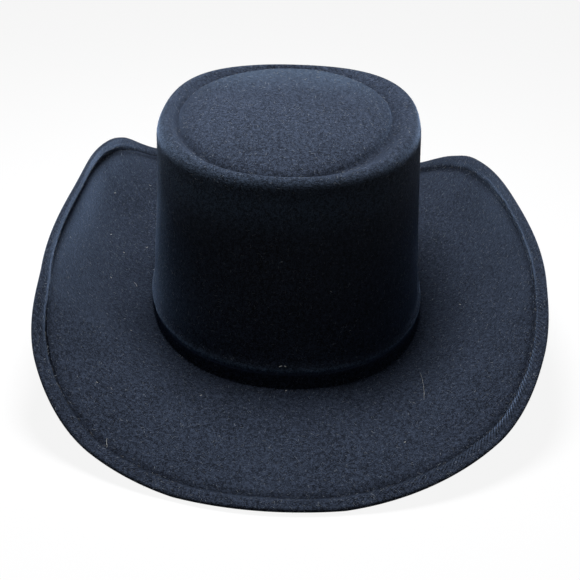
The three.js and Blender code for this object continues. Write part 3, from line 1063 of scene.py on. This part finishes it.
# %% Felt material
def felt_material(name):
    """Dark felt to light felt with the grain and patches, then pale flecks, then painted light, over bump and
    sheen.
    The painted shade look, dark and without sheen, takes over as far as the painted shade value says."""
    material, shader, place = new_material(name)
    grain = noise(place, GRAIN_SCALE, 1.0, 0.5)
    clumps = noise(place, CLUMP_SCALE, 3.0, 0.6)
    patches = noise(place, PATCH_SCALE, 2.0, 0.5)
    ribs = hem_ribs(place)
    fibre = (grain * 0.55 + clumps * 0.45).between(*FIBRE_RANGE)
    # The rib wave in the colour is painted shade.
    tone = fibre * (1 - PATCH_AMOUNT) + patches * PATCH_AMOUNT + ribs * RIB_PAINTED_SHADE
    base = blend(tone, FELT_DARK, FELT_LIGHT)
    flecks = noise(place, FLECK_SCALE, 1.0, 0.5).between(*FLECK_RANGE)
    base = blend(flecks * FLECK_AMOUNT, base, FLECK_COLOUR)
    # Painted light: a paler colour mixed in by the painted light value, more on the fibres.
    painted_light = piece_value(place, "painted_light") * (fibre * PAINTED_LIGHT_ON_FIBRES + PAINTED_LIGHT_BETWEEN)
    base = blend(painted_light, base, PAINTED_LIGHT_COLOUR)
    place.tree.links.new(base.socket, shader.inputs["Base Color"])
    height = grain * 0.5 + clumps * 0.5 + ribs * RIB_BUMP
    relief = {"Strength": BUMP_STRENGTH, "Distance": BUMP_DEPTH, "Height": height}
    bump = place.node("ShaderNodeBump", {}, relief)
    place.tree.links.new(bump.socket, shader.inputs["Normal"])
    shader.inputs["Roughness"].default_value = FELT_ROUGHNESS
    shader.inputs["Specular IOR Level"].default_value = FELT_SHINE
    shader.inputs["Sheen Weight"].default_value = SHEEN
    shader.inputs["Sheen Roughness"].default_value = SHEEN_ROUGHNESS
    shader.inputs["Sheen Tint"].default_value = SHEEN_TINT
    # Painted shade: a dark shader without sheen, mixed in where the painted shade value says.
    painted_shade_look = {
        "Base Color": colour(FELT_DARK),
        "Roughness": FELT_ROUGHNESS,
        "Specular IOR Level": PAINTED_SHADE_SHINE,
    }
    shaded = place.node("ShaderNodeBsdfPrincipled", {}, painted_shade_look)
    lofty = Wire(place.tree, shader.outputs["BSDF"])
    both = place.node("ShaderNodeMixShader", {}, {0: piece_value(place, "painted_shade"), 1: lofty, 2: shaded})
    place.tree.links.new(both.socket, place.tree.nodes["Material Output"].inputs["Surface"])
    return material


felt = felt_material("black_wool_felt")
body.data.materials.append(felt)
hem.data.materials.append(felt)
print("black_wool_felt: %d nodes" % len(felt.node_tree.nodes))

# %% [markdown]
# The thread is black sewing thread, a little shinier than felt. The loose fibres are the felt's own wool and
# run from dark to pale. One kind of finish with two colours does for both.

# %% Thread and fibre materials
THREAD_COLOURS = ((0.002, 0.002, 0.003), (0.008, 0.009, 0.012))
FIBRE_COLOURS = ((0.08, 0.1, 0.13), (0.55, 0.6, 0.66))
thread.data.materials.append(mottled_material("black_thread", 1800, 2.0, THREAD_COLOURS, 0.7))
loose_fibres.data.materials.append(mottled_material("pale_fibre", 300, 3.0, FIBRE_COLOURS, 0.8))

# %% [markdown]
# The studio: a pale floor, which glows so that it stays pale without lighting the hat from below.
# One lamp, about 20 cm across, hangs 40 cm over the crown and a little behind its middle, with a faint fill.
# So near a lamp lights the top and the brim and leaves the walls of the crown dark, as in the photograph.

# %% Floor
FLOOR_HALF = 4.0
FLOOR_COLOUR = (0.09, 0.09, 0.093)
FLOOR_GLOW = 0.9
FLOOR_CORNERS = [(-1, -1), (1, -1), (1, 1), (-1, 1)]
floor_mesh = bpy.data.meshes.new("floor")
floor_mesh.from_pydata([(x * FLOOR_HALF, y * FLOOR_HALF, 0) for x, y in FLOOR_CORNERS], [], [(0, 1, 2, 3)])
floor = bpy.data.objects.new("floor", floor_mesh)
bpy.context.scene.collection.objects.link(floor)
floor_material, floor_shader, _ = new_material("pale_floor")
floor_shader.inputs["Base Color"].default_value = colour(FLOOR_COLOUR)
floor_shader.inputs["Roughness"].default_value = 0.9
floor_shader.inputs["Emission Color"].default_value = (1, 1, 1, 1)
floor_shader.inputs["Emission Strength"].default_value = FLOOR_GLOW
floor_mesh.materials.append(floor_material)
floor.visible_diffuse = False
print("floor %.0f m wide" % (2 * FLOOR_HALF))

# %% Light
WORLD_LIGHT = 0.04
LAMP_POWER = 3.85
LAMP_SIZE = 0.21
LAMP_PLACE = Vector((-0.035, 0.05, 0.54))
LAMP_AIM = Vector((0, 0, 0.05))
world = bpy.data.worlds.new("studio")
bpy.context.scene.world = world
world.use_nodes = True
world.node_tree.nodes["Background"].inputs["Color"].default_value = (0.95, 0.97, 1.0, 1)
world.node_tree.nodes["Background"].inputs["Strength"].default_value = WORLD_LIGHT
lamp_data = bpy.data.lights.new("lamp", "AREA")
lamp_data.shape = "DISK"
lamp_data.size = LAMP_SIZE
lamp_data.energy = LAMP_POWER
lamp = bpy.data.objects.new("lamp", lamp_data)
lamp.location = LAMP_PLACE
lamp.rotation_euler = (LAMP_AIM - LAMP_PLACE).to_track_quat("-Z", "Y").to_euler()
bpy.context.scene.collection.objects.link(lamp)
bpy.context.scene.view_settings.view_transform = "Standard"
print("lamp of %.1f W at" % LAMP_POWER, LAMP_PLACE.to_tuple(3))

# %% [markdown]
# The camera stands where the picture was taken from: about 60 cm from the crown, 24 degrees above the floor
# and a little to the left. It is tipped and turned so that the hat lies in the picture as in the photograph.
# Pan and tilt turn the view and leave the camera's shift at 0, so that other views can move the camera.

# %% Camera
IMAGE_SIDE = 580
FOCUS_PX = 1001.2
CAMERA_DISTANCE = 600.0
CAMERA_RISE = math.radians(23.8)
CAMERA_SIDE = math.radians(-2.62)
CAMERA_ROLL = math.radians(2.3)
CAMERA_PAN = math.radians(0.083)
CAMERA_TILT = math.radians(-5.03)
AIM = np.array([-3.0, 0.0, 60.0 + BRIM_LINE])
SENSOR_MM = 36.0

level = CAMERA_DISTANCE * math.cos(CAMERA_RISE)
climb = CAMERA_DISTANCE * math.sin(CAMERA_RISE)
eye = AIM + [level * math.sin(CAMERA_SIDE), -level * math.cos(CAMERA_SIDE), climb]
ahead = (AIM - eye) / np.linalg.norm(AIM - eye)
right = np.cross(ahead, [0, 0, 1])
right /= np.linalg.norm(right)
above = np.cross(right, ahead)
rolled_right = right * math.cos(CAMERA_ROLL) + above * math.sin(CAMERA_ROLL)
rolled_above = above * math.cos(CAMERA_ROLL) - right * math.sin(CAMERA_ROLL)
ahead = ahead + math.tan(CAMERA_PAN) * rolled_right + math.tan(CAMERA_TILT) * rolled_above
ahead /= np.linalg.norm(ahead)
right = rolled_right - (rolled_right @ ahead) * ahead
right /= np.linalg.norm(right)
above = np.cross(right, ahead)

camera_data = bpy.data.cameras.new("camera")
camera_data.sensor_width = SENSOR_MM
camera_data.lens = FOCUS_PX / IMAGE_SIDE * SENSOR_MM
camera = bpy.data.objects.new("camera", camera_data)
turned = np.eye(4)
turned[:3, 0] = right
turned[:3, 1] = above
turned[:3, 2] = -ahead
turned[:3, 3] = eye * MM
camera.matrix_world = Matrix(turned.tolist())
bpy.context.scene.collection.objects.link(camera)
bpy.context.scene.camera = camera
print("camera at", (eye * MM).round(3), "lens %.1f mm" % camera_data.lens)

# %% [markdown]
# Lint and hairs. A few pale hairs and crumbs of lint lie on the hat, at places that show in the picture.
# Each row gives two picture places in pixels, and rays from the camera find the felt under them.
# A crumb is a short thick fibre, and a hair is a longer thin one that follows the felt with a small bow.

# %% Lint and hairs
LINT_ROWS = [
    {"from": (420, 372), "to": (424, 400), "thick": 0.05, "bow": 1.5},
    {"from": (107, 438), "to": (107.5, 447), "thick": 0.06, "bow": -0.8},
    {"from": (110, 387), "to": (112, 390), "thick": 0.08, "bow": 0.4},
    {"from": (134, 282), "to": (137, 287), "thick": 0.06, "bow": 0.5},
    {"from": (279, 367), "to": (282, 366), "thick": 0.28, "bow": 0.3},
    {"from": (284, 366), "to": (286, 367), "thick": 0.3, "bow": 0.2},
    {"from": (285, 391), "to": (287, 391), "thick": 0.3, "bow": 0.0},
    {"from": (130, 330), "to": (132, 331), "thick": 0.12, "bow": 0.0},
    {"from": (96, 382), "to": (98, 383), "thick": 0.12, "bow": 0.0},
    {"from": (200, 396), "to": (202, 395), "thick": 0.13, "bow": 0.0},
    {"from": (330, 291), "to": (332, 292), "thick": 0.1, "bow": 0.0},
    {"from": (349, 331), "to": (351, 330), "thick": 0.1, "bow": 0.0},
    {"from": (459, 304), "to": (461, 305), "thick": 0.12, "bow": 0.0},
    {"from": (404, 443), "to": (406, 442), "thick": 0.18, "bow": 0.0},
    {"from": (114, 193), "to": (116, 193), "thick": 0.14, "bow": 0.0},
    {"from": (149, 185), "to": (151, 186), "thick": 0.12, "bow": 0.0},
    {"from": (110, 235), "to": (112, 234), "thick": 0.13, "bow": 0.0},
    {"from": (123, 252), "to": (125, 253), "thick": 0.12, "bow": 0.0},
    {"from": (146, 248), "to": (148, 247), "thick": 0.12, "bow": 0.0},
    {"from": (110, 277), "to": (112, 278), "thick": 0.12, "bow": 0.0},
    {"from": (153, 270), "to": (155, 269), "thick": 0.12, "bow": 0.0},
]
LINT_RINGS = 9
LINT_SIDES = 6
LINT_COLOURS = ((0.45, 0.47, 0.48), (0.85, 0.85, 0.82))


def felt_under(x, y):
    """The point of the hat under a picture place, and the normal there, in mm of the frame."""
    ray = ahead * FOCUS_PX + right * (x - IMAGE_SIDE / 2) + above * (IMAGE_SIDE / 2 - y)
    sight = Vector(ray / np.linalg.norm(ray))
    graph = bpy.context.evaluated_depsgraph_get()
    found, place, normal, *_ = bpy.context.scene.ray_cast(graph, Vector(eye * MM), sight)
    assert found, "no felt under the picture place %s, %s" % (x, y)
    return np.array(place) / MM, np.array(normal)


def lint_tube(row):
    """Rings along the line between the two places: the bow steps aside by 4 s (1 - s) of itself in pixels,
    and the radius tapers by the fourth root of the same, so that both ends are round."""
    share = np.linspace(0, 1, LINT_RINGS)
    start, end = np.array(row["from"], float), np.array(row["to"], float)
    across = np.array([end[1] - start[1], start[0] - end[0]])
    across /= np.linalg.norm(across)
    bulge = 4 * share * (1 - share)
    seen = start + (end - start) * share[:, None] + across * (row["bow"] * bulge)[:, None]
    places, ups = (np.array(part) for part in zip(*[felt_under(x, y) for x, y in seen]))
    centre = places + ups * row["thick"]
    forward = np.gradient(centre, axis=0)
    forward /= np.linalg.norm(forward, axis=1, keepdims=True)
    side = np.cross(ups, forward)
    side /= np.linalg.norm(side, axis=1, keepdims=True)
    above_side = np.cross(forward, side)
    around = np.arange(LINT_SIDES) * FULL_TURN / LINT_SIDES
    radius = row["thick"] * np.maximum(bulge, 0.02)[:, None, None] ** 0.25
    ring = side[:, None] * np.cos(around)[None, :, None] + above_side[:, None] * np.sin(around)[None, :, None]
    return centre[:, None] + ring * radius


bpy.context.view_layer.update()
lint_points = np.array([lint_tube(row) for row in LINT_ROWS]) + frame_middle_mm
lint = new_mesh("lint", lint_points.reshape(-1, 3), tube_faces(len(lint_points), LINT_RINGS, LINT_SIDES))
lint.data.materials.append(mottled_material("pale_lint", 900, 3.0, LINT_COLOURS, 0.85))

# %% [markdown]
# Each piece rides on the one body.
# The dense surface and its hem stand for the imported felt solid.

# %% Tie the pieces to the frame
for piece in (body, hem, thread, loose_fibres, lint):
    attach(piece, "root")
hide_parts("felt_body")
print("tied: body, hem, stitches, loose fibres and lint")
